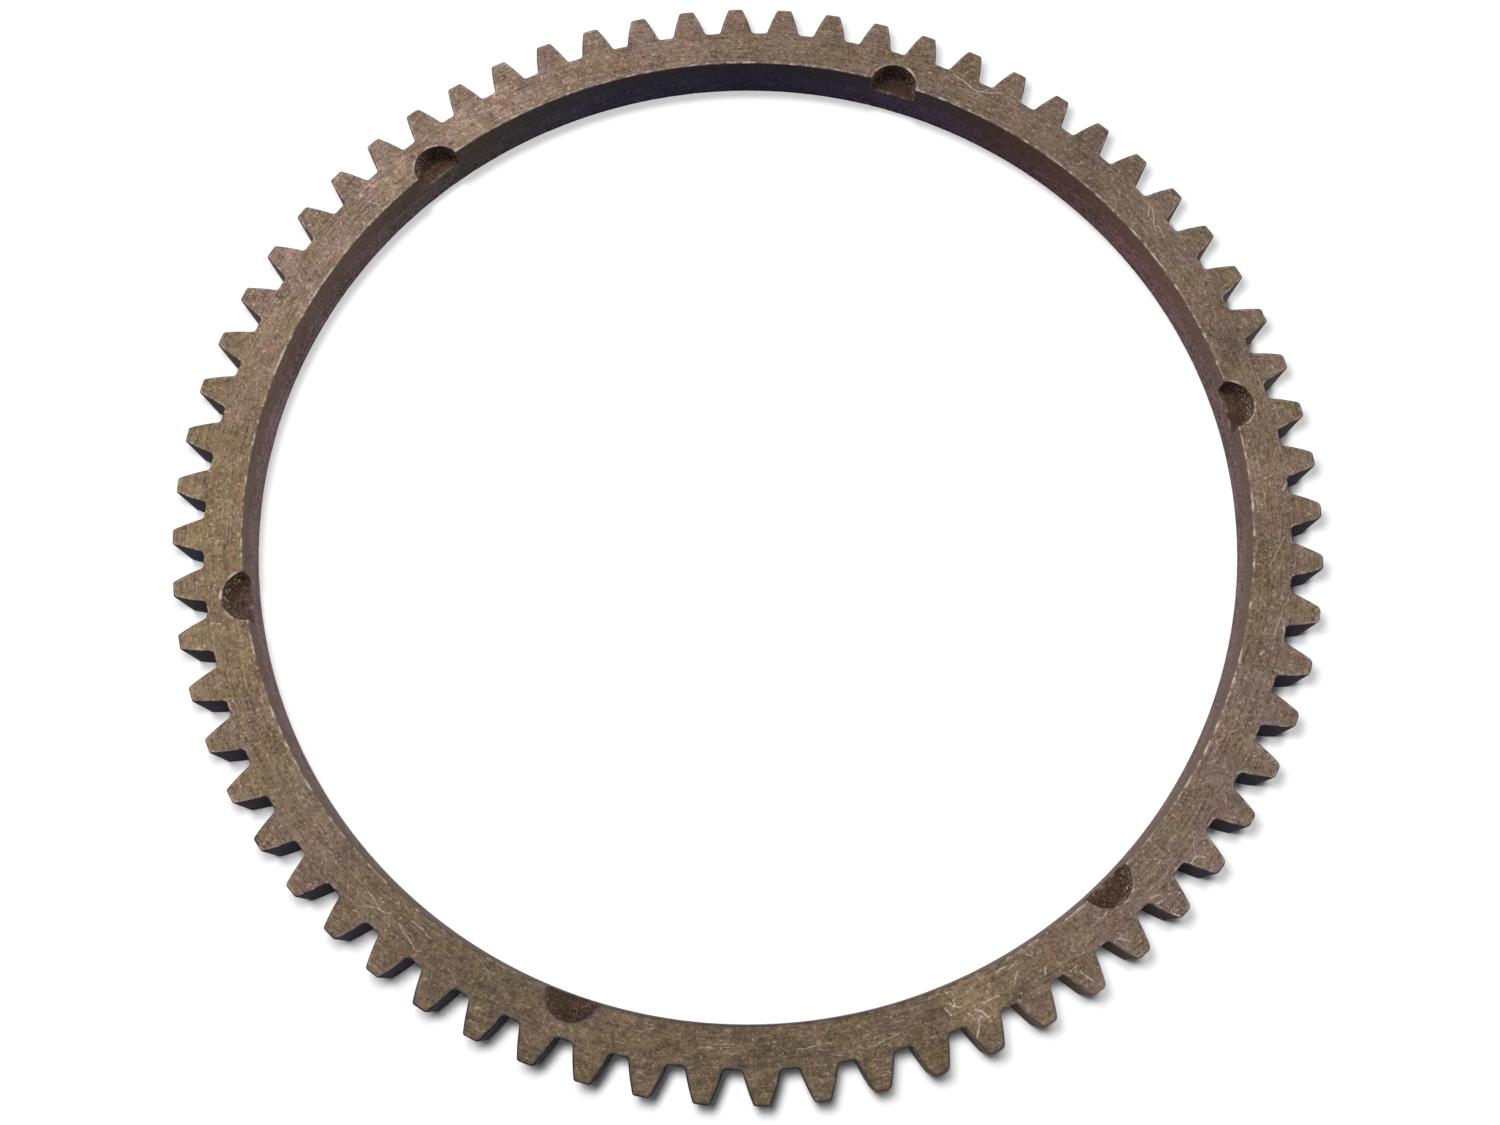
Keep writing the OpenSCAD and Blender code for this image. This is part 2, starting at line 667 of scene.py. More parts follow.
            wall = self.stretch(index)
            tops = [self.edge.radius(p, UPPER_BORE) for p in wall]
            lows = [self.edge.radius(p, LOWER_BORE) for p in wall]
            rows = []
            for level in range(8):
                places = []
                worn = 0.0
                for (x, y), top, small in zip(wall, tops, lows):
                    height, worn = self.levels(top, small)[level]
                    places.append((x, y, height))
                rows.append(metal.row(places, worn))
            metal.skin(rows, False, Zone.BORE)
            circle += wall[1:-1]
        normals = corner_normals(circle, -1)
        sizes = [self.edge.radius(p, LOWER_BORE) for p in circle]
        rows = [metal.row(places, worn) for places, worn in self.bevel(circle, normals, sizes, False)]
        metal.skin(rows[:-1], True, Zone.BORE)
        metal.skin(rows[-2:], True, Zone.FACE, False)
        return rows[-1]

    def mouth_corner(self, index: int) -> list[list[tuple[Point, float]]]:
        """Return the curves where the floor's rounding meets the bore.

        Args:
            index: Number of the pocket.

        Returns:
            For the first and the last end of the pocket, points with their heights, from the wall down.
        """
        form = self.pockets
        floor = self.thickness - form.depth
        ends: list[list[tuple[Point, float]]] = [[], []]
        for step in range(form.round_steps + 1):
            turn = math.pi / 2 * step / form.round_steps
            radius = form.radius - form.floor_round * (1 - math.cos(turn))
            height = floor + form.floor_round * (1 - math.sin(turn))
            ring = self.pocket_ring(index, radius)
            ends[0].append((ring[0], height))
            ends[1].append((ring[-1], height))
        return ends

    def flat(self, metal: Metal, outer: list[int], inner: list[int], height: float) -> None:
        """Fill the flat face between the rim's and the bore's innermost rows.

        Args:
            metal: Mesh to add to.
            outer: Row of the rim.
            inner: Row of the bore.
            height: Height of the face.
        """
        count = self.middle_steps
        circle = [(*polar(self.middle_circle, 360 * k / count), height) for k in range(count)]
        middle = metal.row(circle, 0.0)
        metal.zip_rings(outer, middle, Zone.FACE)
        metal.zip_rings(middle, inner, Zone.FACE)


# Finishes


class Graph:
    """Short calls for laying out the nodes of a material, a lamp or the sky."""

    def __init__(self, tree: bpy.types.NodeTree) -> None:
        """Start in a node tree."""
        self.tree = tree

    def add(self, kind: str, **settings: object) -> bpy.types.Node:
        """Add a node and set its properties."""
        node = self.tree.nodes.new(kind)
        for key, value in settings.items():
            setattr(node, key, value)
        return node

    def feed(self, socket: bpy.types.NodeSocket, value: object) -> None:
        """Link a socket to a value's socket, or set it to a plain value."""
        if isinstance(value, bpy.types.NodeSocket):
            self.tree.links.new(value, socket)
        else:
            socket.default_value = value

    def math(self, operation: str, *values: object, clamp: bool = False) -> bpy.types.NodeSocket:
        """Return the result of a Math node."""
        node = self.add("ShaderNodeMath", operation=operation, use_clamp=clamp)
        for socket, value in zip(node.inputs, values):
            self.feed(socket, value)
        return node.outputs[0]

    def total(self, *values: object) -> bpy.types.NodeSocket:
        """Return the sum of several values."""
        result = values[0]
        for value in values[1:]:
            result = self.math("ADD", result, value)
        return result

    def product(self, *values: object) -> bpy.types.NodeSocket:
        """Return the product of several values."""
        result = values[0]
        for value in values[1:]:
            result = self.math("MULTIPLY", result, value)
        return result

    def vector(self, operation: str, *values: object) -> bpy.types.NodeSocket:
        """Return the result of a Vector Math node."""
        node = self.add("ShaderNodeVectorMath", operation=operation)
        for socket, value in zip(node.inputs, values):
            self.feed(socket, value)
        single = operation in ("DOT_PRODUCT", "LENGTH", "DISTANCE")
        return node.outputs["Value"] if single else node.outputs["Vector"]

    def scaled(self, place: object, factor: object) -> bpy.types.NodeSocket:
        """Return a vector times a number."""
        node = self.add("ShaderNodeVectorMath", operation="SCALE")
        self.feed(node.inputs[0], place)
        self.feed(node.inputs["Scale"], factor)
        return node.outputs["Vector"]

    def split(self, place: object) -> list[bpy.types.NodeSocket]:
        """Return the three coordinates of a vector."""
        node = self.add("ShaderNodeSeparateXYZ")
        self.feed(node.inputs[0], place)
        return list(node.outputs)

    def join(self, x: object, y: object, z: object) -> bpy.types.NodeSocket:
        """Return the vector with three coordinates."""
        node = self.add("ShaderNodeCombineXYZ")
        for socket, value in zip(node.inputs, (x, y, z)):
            self.feed(socket, value)
        return node.outputs[0]

    def noise(
        self, place: object, scale: float, detail: float = 3.0, rough: float = 0.55
    ) -> bpy.types.NodeSocket:
        """Return soft noise of a scale in cells per unit of the place."""
        node = self.add("ShaderNodeTexNoise")
        self.feed(node.inputs["Vector"], place)
        node.inputs["Scale"].default_value = scale
        node.inputs["Detail"].default_value = detail
        node.inputs["Roughness"].default_value = rough
        return node.outputs["Fac"]

    def ramp(self, value: object, low: float, high: float) -> bpy.types.NodeSocket:
        """Return a value stretched from low..high to 0..1 with soft ends."""
        node = self.add("ShaderNodeMapRange", interpolation_type="SMOOTHSTEP")
        self.feed(node.inputs["Value"], value)
        node.inputs["From Min"].default_value = low
        node.inputs["From Max"].default_value = high
        return node.outputs["Result"]

    def blend(self, share: object, a: object, b: object) -> bpy.types.NodeSocket:
        """Return the mix of two colours."""
        node = self.add("ShaderNodeMix", data_type="RGBA")
        self.feed(node.inputs[0], share)
        self.feed(node.inputs[6], (*a, 1.0) if isinstance(a, tuple) else a)
        self.feed(node.inputs[7], (*b, 1.0) if isinstance(b, tuple) else b)
        return node.outputs[2]


@dataclass(frozen=True)
class Pattern:
    """Patches of soft noise: cells per millimetre, and the levels where they start and are full."""

    scale: float
    low: float
    high: float
    detail: float = 3.0
    rough: float = 0.6

    def lay(self, g: Graph, place: object) -> bpy.types.NodeSocket:
        """Return the patches, from 0 to 1, at a place in millimetres."""
        return g.ramp(g.noise(place, self.scale, self.detail, self.rough), self.low, self.high)


HUES = Pattern(0.10, 0.40, 0.60, 4.0, 0.65)
PLAIN_PATCHES = Pattern(0.33, 0.38, 0.62)
RUST_PATCHES = Pattern(0.24, 0.54, 0.68)
STAINS = Pattern(0.12, 0.57, 0.70, 5.0, 0.7)
PITS = Pattern(1.25, 0.34, 0.26, 2.0, 0.5)
SPECKS = Pattern(1.9, 0.62, 0.70, 2.0, 0.55)
RUBBED_AND_HIGHLIT_EDGES = Pattern(0.50, 0.44, 0.66, 3.0, 0.7)
SCRATCH_BUNCHES = Pattern(0.30, 0.40, 0.66)
SCRATCH_BREAKS = Pattern(1.6, 0.36, 0.56, 2.0)
CLOUD_SWIRLS = Pattern(0.55, 0.36, 0.66, 4.0, 0.7)
FLANK_PATCHES = Pattern(0.5, 0.30, 0.60)
FLOOR_MOTTLES = Pattern(0.8, 0.36, 0.58, 4.0, 0.7)
CRUMBS = Pattern(2.3, 0.57, 0.63, 1.0, 0.5)
CRUMB_BUNCHES = Pattern(0.11, 0.30, 0.50, 2.0, 0.55)


def blank_material(name: str) -> bpy.types.Material:
    """Return a new material without nodes."""
    material = bpy.data.materials.new(name)
    material.use_nodes = True
    material.node_tree.nodes.clear()
    return material


@dataclass(frozen=True)
class Scratch:
    """One bright scratch on the upper face, from one place to another, each an angle and a radius."""

    start: Point
    end: Point
    width: float = 0.16
    strength: float = 0.8


@dataclass(frozen=True)
class SeenScratch:
    """A bright scratch of the upper face whose ends are given as pixels of the photograph."""

    start_pixel: Point
    end_pixel: Point
    width: float = 0.22
    strength: float = 0.9


@dataclass(frozen=True)
class Cloud:
    """A patch of the upper face painted lighter or darker: the broad ones are painted sheen and painted
    shade with some patina, the small ones make the tone lighter or darker in places.
    """

    angle: float
    radius: float
    reach: float
    strength: float
    cool: float = 0.0


@dataclass(frozen=True)
class Strokes:
    """A pattern of short scratches that lie roughly round the ring.

    The scale is in cells per millimetre. Half the width and half the length of a scratch are shares of a
    cell, bare is the share of the cells without a scratch, and spread is the range of directions in degrees.
    """

    scale: float
    width: float
    reach: float
    bare: float
    spread: float


LONG_STROKES = Strokes(0.13, 0.012, 0.36, 0.60, 200.0)
SHORT_STROKES = Strokes(0.40, 0.046, 0.44, 0.30, 70.0)
TINY_STROKES = Strokes(0.85, 0.100, 0.46, 0.35, 60.0)


@dataclass(frozen=True)
class SteelFinish:
    """Heat-treated steel of one zone, with colours in linear light and sizes in millimetres."""

    name: str
    tone: Colour = (0.117, 0.077, 0.050)
    pink: Colour = (0.122, 0.079, 0.057)
    olive: Colour = (0.116, 0.080, 0.043)
    rust: Colour = (0.150, 0.074, 0.043)
    dark: Colour = (0.034, 0.024, 0.020)
    bright: Colour = (0.52, 0.44, 0.36)
    # Colour of the painted shade on the worn edges at the front of the ring
    front_edge_shade: Colour = (0.018, 0.014, 0.015)
    grain: float = 0.95
    streak: float = 0.75
    specks: float = 0.38
    scratches: float = 0.8
    # Strength of the worn edges painted bright at the back of the ring: rubbed metal with a painted
    # highlight
    worn: float = 0.62
    roughness: float = 0.58
    metallic: float = 0.3
    specular: float = 0.3
    bump: float = 0.5
    bump_depth: float = 0.09

    def make(self) -> bpy.types.Material:
        """Lay out the nodes of this finish.

        Returns:
            The material.
        """
        material = blank_material(self.name)
        g = Graph(material.node_tree)
        place = g.scaled(g.add("ShaderNodeTexCoord").outputs["Object"], 1 / MM)
        colour, grit = self.metal(g, place)
        colour = self.tint(g, place, colour)
        marks = self.marks(g, place)
        colour = g.blend(g.product(marks, 0.62), colour, self.bright)
        edge = g.add("ShaderNodeAttribute", attribute_name="worn").outputs["Fac"]
        _, y, _ = g.split(place)
        far = g.ramp(y, FRONT_END, REAR_START)
        # Painted shade: the worn edges at the front of the ring are painted near black, as edges turned from
        # the light
        colour = g.blend(g.product(edge, g.math("SUBTRACT", 1.0, far), 0.95), colour, self.front_edge_shade)
        # The worn edges at the back are painted bright, in patches: rubbed metal with a painted highlight
        rub = RUBBED_AND_HIGHLIT_EDGES.lay(g, place)
        edge = g.product(edge, rub, far, self.worn)
        colour = g.blend(edge, colour, self.bright)
        self.shade(g, colour, grit, marks, edge)
        return material

    def metal(self, g: Graph, place: object) -> tuple[bpy.types.NodeSocket, bpy.types.NodeSocket]:
        """Lay out the mottled colour of the metal.

        Args:
            g: Nodes of the material.
            place: Coordinates in millimetres.

        Returns:
            The colour, and the grain that also roughens the surface.
        """
        x, y, z = g.split(place)
        radius = g.vector("LENGTH", g.join(x, y, 0.0))
        turned = g.join(g.product(radius, 2.6), g.product(x, 0.16), g.product(y, 0.16))
        turned = g.vector("ADD", turned, g.join(0.0, 0.0, g.product(z, 2.6)))
        streak = g.noise(turned, 1.0, 3.0, 0.62)
        hue = HUES.lay(g, place)
        patch = PLAIN_PATCHES.lay(g, place)
        rust = RUST_PATCHES.lay(g, place)
        broad = g.noise(place, 0.15, 3.0, 0.6)
        fine = g.noise(place, 1.15, 4.0, 0.75)
        grit = g.noise(place, 2.3, 3.0, 0.7)
        colour = g.blend(hue, self.pink, self.olive)
        colour = g.blend(g.product(patch, 0.5), colour, self.tone)
        colour = g.blend(g.product(rust, 0.45), colour, self.rust)
        middle = sum(self.tone) / 3
        dust = tuple(0.75 * part + 0.25 * middle for part in self.tone)
        level = g.total(
            g.product(g.math("SUBTRACT", fine, 0.5), 2.4 * self.grain),
            g.product(g.math("SUBTRACT", grit, 0.5), 1.8 * self.grain),
            g.product(g.math("SUBTRACT", streak, 0.5), 2.6 * self.streak),
            g.product(g.math("SUBTRACT", broad, 0.5), 1.1),
        )
        colour = g.vector("ADD", colour, g.scaled(dust, level))
        colour = g.vector("MAXIMUM", colour, tuple(0.2 * part for part in self.tone))
        stain = STAINS.lay(g, place)
        colour = g.blend(g.product(stain, 0.40), colour, self.dark)
        pits = PITS.lay(g, place)
        colour = g.blend(g.product(pits, 0.35), colour, self.dark)
        specks = SPECKS.lay(g, place)
        colour = g.blend(g.product(specks, self.specks), colour, self.bright)
        return colour, g.total(g.product(grit, 0.5), g.product(fine, 0.7), g.product(pits, -0.5))

    def tint(self, g: Graph, place: object, colour: object) -> object:
        """Return the colour as it is, for zones without a tint of their own."""
        return colour

    def marks(self, g: Graph, place: object) -> bpy.types.NodeSocket:
        """Return how strongly each place is scratched, from 0 to 1."""
        long = g.product(self.strokes(g, place, LONG_STROKES), 0.7)
        short = self.strokes(g, place, SHORT_STROKES)
        tiny = self.strokes(g, place, TINY_STROKES)
        bunch = SCRATCH_BUNCHES.lay(g, place)
        small = g.math("MAXIMUM", short, g.product(tiny, 0.8))
        small = g.product(small, g.total(g.product(bunch, 0.9), 0.1))
        return g.product(g.math("MAXIMUM", long, small), self.scratches)

    def shade(self, g: Graph, colour: object, grit: object, marks: object, edge: object) -> None:
        """Lay out the shader of the metal.

        Args:
            g: Nodes of the material.
            colour: Colour of the metal.
            grit: Grain of the surface.
            marks: How strongly each place is scratched.
            edge: How far each place is painted bright at the worn edges, as rubbed metal with a painted
                highlight.
        """
        shader = g.add("ShaderNodeBsdfPrincipled")
        g.feed(shader.inputs["Base Color"], colour)
        shader.inputs["Metallic"].default_value = self.metallic
        shader.inputs["Specular IOR Level"].default_value = self.specular
        rough = g.total(g.product(grit, 0.14), g.product(edge, -0.18), self.roughness - 0.08)
        g.feed(shader.inputs["Roughness"], rough)
        bump = g.add("ShaderNodeBump")
        bump.inputs["Strength"].default_value = self.bump
        bump.inputs["Distance"].default_value = self.bump_depth * MM
        g.feed(bump.inputs["Height"], g.total(grit, g.product(marks, -0.4)))
        g.feed(shader.inputs["Normal"], bump.outputs["Normal"])
        out = g.add("ShaderNodeOutputMaterial")
        g.feed(out.inputs["Surface"], shader.outputs["BSDF"])

    def strokes(self, g: Graph, place: object, kind: Strokes) -> bpy.types.NodeSocket:
        """Lay out a pattern of scratches, at most one in each cell.

        Args:
            g: Nodes of the material.
            place: Coordinates in millimetres.
            kind: The pattern.

        Returns:
            How strongly a place is scratched, from 0 to 1.
        """
        bend = g.add("ShaderNodeTexNoise")
        g.feed(bend.inputs["Vector"], place)
        bend.inputs["Scale"].default_value = kind.scale * 1.3
        bend.inputs["Detail"].default_value = 1.0
        wave = g.scaled(g.vector("SUBTRACT", bend.outputs["Color"], (0.5, 0.5, 0.5)), 0.55)
        grid = g.vector("ADD", g.scaled(place, kind.scale), wave)
        cell = g.add("ShaderNodeTexVoronoi", voronoi_dimensions="3D", feature="F1")
        g.feed(cell.inputs["Vector"], grid)
        cell.inputs["Scale"].default_value = 1.0
        chance = g.split(cell.outputs["Color"])
        local = g.vector("SUBTRACT", grid, cell.outputs["Position"])
        x, y, _ = g.split(place)
        outward = g.vector("NORMALIZE", g.join(x, y, 0.0))
        around = g.vector("CROSS_PRODUCT", (0.0, 0.0, 1.0), outward)
        u = g.vector("DOT_PRODUCT", local, around)
        v = g.vector("DOT_PRODUCT", local, outward)
        turn = g.product(g.math("SUBTRACT", chance[0], 0.5), math.radians(kind.spread))
        cosine = g.math("COSINE", turn)
        sine = g.math("SINE", turn)
        along = g.math("ADD", g.product(u, cosine), g.product(v, sine))
        across = g.math("SUBTRACT", g.product(v, cosine), g.product(u, sine))
        line = g.ramp(g.math("ABSOLUTE", across), kind.width, kind.width * 0.2)
        ends = g.ramp(g.math("ABSOLUTE", along), kind.reach, kind.reach * 0.6)
        kept = g.ramp(chance[1], kind.bare, kind.bare + 0.1)
        faint = g.math("ADD", g.product(chance[2], 0.8), 0.2)
        return g.product(line, ends, kept, faint)


@dataclass(frozen=True)
class FaceFinish(SteelFinish):
    """The flat faces, with the scratches that handling left on the upper one and patches painted on it:
    broad patches of painted sheen and painted shade with some patina, and small lighter and darker patches.
    """

    lines: tuple[Scratch, ...] = ()
    clouds: tuple[Cloud, ...] = ()
    height: float = 9.8

    def tint(self, g: Graph, place: object, colour: object) -> object:
        """Return the colour with its lighter and darker patches.

        Args:
            g: Nodes of the material.
            place: Coordinates in millimetres.
            colour: Colour of the metal.

        Returns:
            The colour with the patches.
        """
        swirl = CLOUD_SWIRLS.lay(g, place)
        level: object = 1.0
        blue: object = 1.0
        for cloud in self.clouds:
            away = g.vector("DISTANCE", place, (*polar(cloud.radius, cloud.angle), self.height))
            inside = g.ramp(away, cloud.reach, cloud.reach * 0.3)
            level = g.math("ADD", level, g.product(inside, g.math("ADD", swirl, 0.35), cloud.strength))
            if cloud.cool:
                blue = g.math("ADD", blue, g.product(inside, cloud.cool))
        return g.vector("MULTIPLY", colour, g.join(level, level, g.product(level, blue)))

    def marks(self, g: Graph, place: object) -> bpy.types.NodeSocket:
        """Return how strongly each place is scratched, with the listed scratches."""
        placed: object = 0.0
        bend = g.add("ShaderNodeTexNoise")
        g.feed(bend.inputs["Vector"], place)
        bend.inputs["Scale"].default_value = 0.6
        wave = g.scaled(g.vector("SUBTRACT", bend.outputs["Color"], (0.5, 0.5, 0.5)), 0.9)
        x, y, _ = g.split(g.vector("ADD", place, wave))
        flat = g.join(x, y, 0.0)
        broken = SCRATCH_BREAKS.lay(g, place)
        for line in self.lines:
            start = Vector((*polar(line.start[1], line.start[0]), 0.0))
            run = Vector((*polar(line.end[1], line.end[0]), 0.0)) - start
            local = g.vector("SUBTRACT", flat, tuple(start))
            share = g.vector("DOT_PRODUCT", local, tuple(run / run.length_squared))
            nearest = g.scaled(tuple(run), g.math("MAXIMUM", g.math("MINIMUM", share, 1.0), 0.0))
            away = g.vector("LENGTH", g.vector("SUBTRACT", local, nearest))
            here = g.product(g.ramp(away, line.width, line.width * 0.25), line.strength)
            placed = g.math("MAXIMUM", placed, g.product(here, g.total(g.product(broken, 0.75), 0.25)))
        upper = g.ramp(g.split(place)[2], 4.0, 8.0)
        return g.math("MAXIMUM", SteelFinish.marks(self, g, place), g.product(placed, upper))


@dataclass(frozen=True)
class FlankFinish(SteelFinish):
    """The tooth flanks, painted near black as shade with a painted bluish reflection at the front of the
    ring, and brown towards its back.
    """

    brown: Colour = (0.105, 0.075, 0.058)
    rubbed: Colour = (0.360, 0.265, 0.195)

    def tint(self, g: Graph, place: object, colour: object) -> object:
        """Return the colour with the brown flanks and those that the starter has rubbed bare."""
        x, y, z = g.split(place)
        patchy = FLANK_PATCHES.lay(g, place)
        share = g.product(g.ramp(y, 6.0, 36.0), g.total(g.product(patchy, 0.5), 0.5))
        colour = g.blend(share, colour, self.brown)
        sector = g.product(g.ramp(x, 0.0, 34.0), g.ramp(x, 84.0, 50.0), g.ramp(y, -60.0, -80.0))
        bare = g.total(g.product(patchy, 0.4), 0.55)
        return g.blend(g.product(sector, bare, g.ramp(z, 0.8, 2.2)), colour, self.rubbed)


@dataclass(frozen=True)
class BoreFinish(SteelFinish):
    """The bore wall, greyer low down and brown in a band under its upper edge, with painted shade and a
    painted bluish reflection at its back and painted shade along the foot of its back half.
    """

    band: Colour = (0.150, 0.100, 0.062)
    band_height: float = 4.4
    height: float = 9.8
    foot_shade: Colour = (0.03, 0.026, 0.07)

    def tint(self, g: Graph, place: object, colour: object) -> object:
        """Return the colour with the brown band under the upper edge, redder on the right and less red on
        the left, and with the painted shade and the painted bluish reflection at the back.
        """
        x, y, z = g.split(place)
        uneven = g.math("SUBTRACT", g.noise(place, 0.25, 3.0, 0.6), 0.5)
        wavy = g.math("ADD", z, g.product(uneven, 2.4))
        start = self.height - self.band_height
        share = g.ramp(wavy, start - 0.9, start + 0.9)
        level = g.total(1.0, g.product(g.math("SUBTRACT", g.noise(place, 0.9, 4.0, 0.7), 0.5), 1.6))
        colour = g.blend(g.product(share, 0.65), colour, g.scaled(self.band, level))
        # Redder on the right and less red on the left. At the back the wall turns from the light: a painted
        # bluish reflection (more green and blue) and painted shade (darker)
        far = g.ramp(y, 76.0, 94.0)
        right = g.product(g.ramp(x, 0.0, 60.0), g.ramp(y, 20.0, 60.0))
        left = g.product(g.ramp(x, 0.0, -50.0), g.ramp(y, 50.0, 80.0))
        red = g.total(1.0, g.product(right, 0.20), g.product(left, -0.15))
        green = g.total(1.0, g.product(far, 0.30))
        cast = g.join(red, green, g.total(1.0, g.product(far, 1.0)))
        far_wall_shade = g.total(1.0, g.product(g.ramp(y, 50.0, 90.0), -0.32))
        colour = g.scaled(g.vector("MULTIPLY", colour, cast), far_wall_shade)
        # Painted shade: a dark bluish line along the foot of the wall's back half, where it meets the floor
        foot_shade = g.product(g.ramp(z, 0.75, 0.3), g.ramp(y, -20.0, 30.0), 0.85)
        return g.blend(foot_shade, colour, self.foot_shade)


@dataclass(frozen=True)
class PocketFinish(SteelFinish):
    """The drilled pockets, dark and brown with bright crumbs of metal along their walls."""

    floor_height: float = 5.6
    crumbs: float = 0.95

    def tint(self, g: Graph, place: object, colour: object) -> object:
        """Return the colour with painted shade on the floors and the bright crumbs."""
        x, y, z = g.split(place)
        low = g.ramp(z, self.floor_height + 0.05, self.floor_height + 0.8)
        high = g.ramp(z, self.floor_height + 3.9, self.floor_height + 3.0)
        # Painted shade: the pocket floors are darkened in mottled patches, more on the right of the ring
        shaded = g.ramp(z, self.floor_height + 0.5, self.floor_height)
        mottled = FLOOR_MOTTLES.lay(g, place)
        deep = g.total(g.product(g.ramp(x, -85.0, 0.0), 0.55), 0.15)
        colour = g.blend(g.product(shaded, mottled, deep), colour, self.dark)
        spots = CRUMBS.lay(g, place)
        few = CRUMB_BUNCHES.lay(g, place)
        lying = g.total(g.product(g.ramp(y, 20.0, -50.0), 0.12), 0.02)
        share = g.product(g.math("MAXIMUM", g.product(low, high), lying), spots, few, self.crumbs)
        return g.blend(share, colour, self.bright)


# Surroundings


@dataclass(frozen=True)
class Sun:
    """A broad distant lamp.

    The azimuth that it shines from, its elevation and its apparent width, soft, are in degrees, and its
    strength is in watts a square metre.
    """

    name: str
    azimuth: float
    elevation: float
    strength: float
    soft: float


@dataclass
class Studio:
    """Floor, light and camera."""

    floor_size: float = 4000.0
    floor_gap: float = 0.02
    floor_tone: Colour = (1.0, 1.0, 1.0)
    floor_bounce: Colour = (0.02, 0.025, 0.10)
    glow: float = 0.05
    near_power: float = 19.0
    near_size: float = 27.0
    near_offset: tuple[float, float, float] = (-27.0, 47.0, 0.0)
    gear_suns: tuple[Sun, ...] = (
        Sun("key", 130.0, 75.5, 1.25, 12.0),
        Sun("overhead", 130.0, 87.0, 0.86, 70.0),
        Sun("left", 166.0, 20.0, 1.62, 40.0),
        Sun("right", 12.0, 20.0, 1.42, 40.0),
    )
    floor_sun: Sun = Sun("floor_sun", 120.0, 79.2, 1.47, 11.0)
    sky: float = 0.04
    camera_place: tuple[float, float, float] = (3.056, -89.214, 270.407)
    camera_aim: tuple[float, float] = (0.772, -12.655)
    camera_roll: float = -0.36
    lens: float = 35.2255

    def floor(self) -> bpy.types.Object:
        """Lay the pale floor under the gear."""
        half = self.floor_size / 2 * MM
        depth = -self.floor_gap * MM
        mesh = bpy.data.meshes.new("floor")
        corners = [(-half, -half, depth), (half, -half, depth), (half, half, depth), (-half, half, depth)]
        mesh.from_pydata(corners, [], [(0, 1, 2, 3)])
        floor = bpy.data.objects.new("floor", mesh)
        bpy.context.scene.collection.objects.link(floor)
        floor.data.materials.append(self.floor_finish())
        return floor

    def seen(self, g: Graph) -> bpy.types.NodeSocket:
        """Return 1 for what the camera, a reflection or a refraction sees, else 0."""
        path = g.add("ShaderNodeLightPath")
        seen = g.math("ADD", path.outputs["Is Camera Ray"], path.outputs["Is Glossy Ray"])
        return g.math("ADD", seen, path.outputs["Is Transmission Ray"], clamp=True)

    def floor_finish(self) -> bpy.types.Material:
        """Return a pale floor that shows white and keeps the gear's shadow."""
        material = blank_material("pale_floor")
        g = Graph(material.node_tree)
        plain = g.add("ShaderNodeBsdfDiffuse")
        tone = g.blend(self.seen(g), self.floor_bounce, self.floor_tone)
        g.feed(plain.inputs["Color"], tone)
        lit = g.add("ShaderNodeEmission")
        g.feed(lit.inputs["Strength"], g.math("MULTIPLY", self.seen(g), self.glow))
        both = g.add("ShaderNodeAddShader")
        g.feed(both.inputs[0], plain.outputs[0])
        g.feed(both.inputs[1], lit.outputs[0])
        clear = g.add("ShaderNodeBsdfTransparent")
        side = g.add("ShaderNodeMixShader")
        g.feed(side.inputs[0], g.add("ShaderNodeNewGeometry").outputs["Backfacing"])
        g.feed(side.inputs[1], both.outputs[0])
        g.feed(side.inputs[2], clear.outputs[0])
        out = g.add("ShaderNodeOutputMaterial")
        g.feed(out.inputs["Surface"], side.outputs[0])
        return material

    def hang(self, data: bpy.types.Light) -> bpy.types.Object:
        """Return a new lamp in the scene."""
        lamp = bpy.data.objects.new(data.name, data)
        bpy.context.scene.collection.objects.link(lamp)
        return lamp

    def distant_lamp(self, sun: Sun) -> bpy.types.Object:
        """Hang a broad distant lamp.

        Args:
            sun: Where it shines from, and how.

        Returns:
            The lamp.
        """
        data = bpy.data.lights.new(sun.name, "SUN")
        data.energy = sun.strength
        data.angle = math.radians(sun.soft)
        lamp = self.hang(data)
        height = math.radians(sun.elevation)
        x, y = polar(math.cos(height), sun.azimuth)
        lamp.rotation_euler = Vector((x, y, math.sin(height))).to_track_quat("Z", "Y").to_euler()
        return lamp

    def near_lamp(self) -> bpy.types.Object:
        """Hang the lamp beside the camera that throws the gear's short shadow on the floor.

        Returns:
            The lamp, whose light fades neither with distance nor with slant, so that the floor is even.
        """
        data = bpy.data.lights.new("beside_camera", "POINT")
        data.energy = self.near_power
        data.shadow_soft_size = self.near_size * MM
        data.use_nodes = True
        g = Graph(data.node_tree)
        even = g.add("ShaderNodeLightFalloff")
        even.inputs["Strength"].default_value = 1.0
        down = g.split(g.add("ShaderNodeTexCoord").outputs["Normal"])[2]
        level = g.math("DIVIDE", even.outputs["Constant"], g.math("ABSOLUTE", down))
        g.feed(data.node_tree.nodes["Emission"].inputs["Strength"], level)
        lamp = self.hang(data)
        lamp.location = (Vector(self.camera_place) + Vector(self.near_offset)) * MM
        return lamp

    def light(self, piece: bpy.types.Object, floor: bpy.types.Object) -> None:
        """Hang the lamps.

        Args:
            piece: The gear, which has lamps of its own.
            floor: The floor, lit by two lamps that throw the gear's short shadow.
        """
        above = [self.distant_lamp(sun) for sun in self.gear_suns]
        below = [self.near_lamp(), self.distant_lamp(self.floor_sun)]
        for target, lamps in ((piece, above), (floor, below)):
            lit = bpy.data.collections.new("lights_of_" + target.name)
            lit.objects.link(target)
            for lamp in lamps:
                lamp.light_linking.receiver_collection = lit

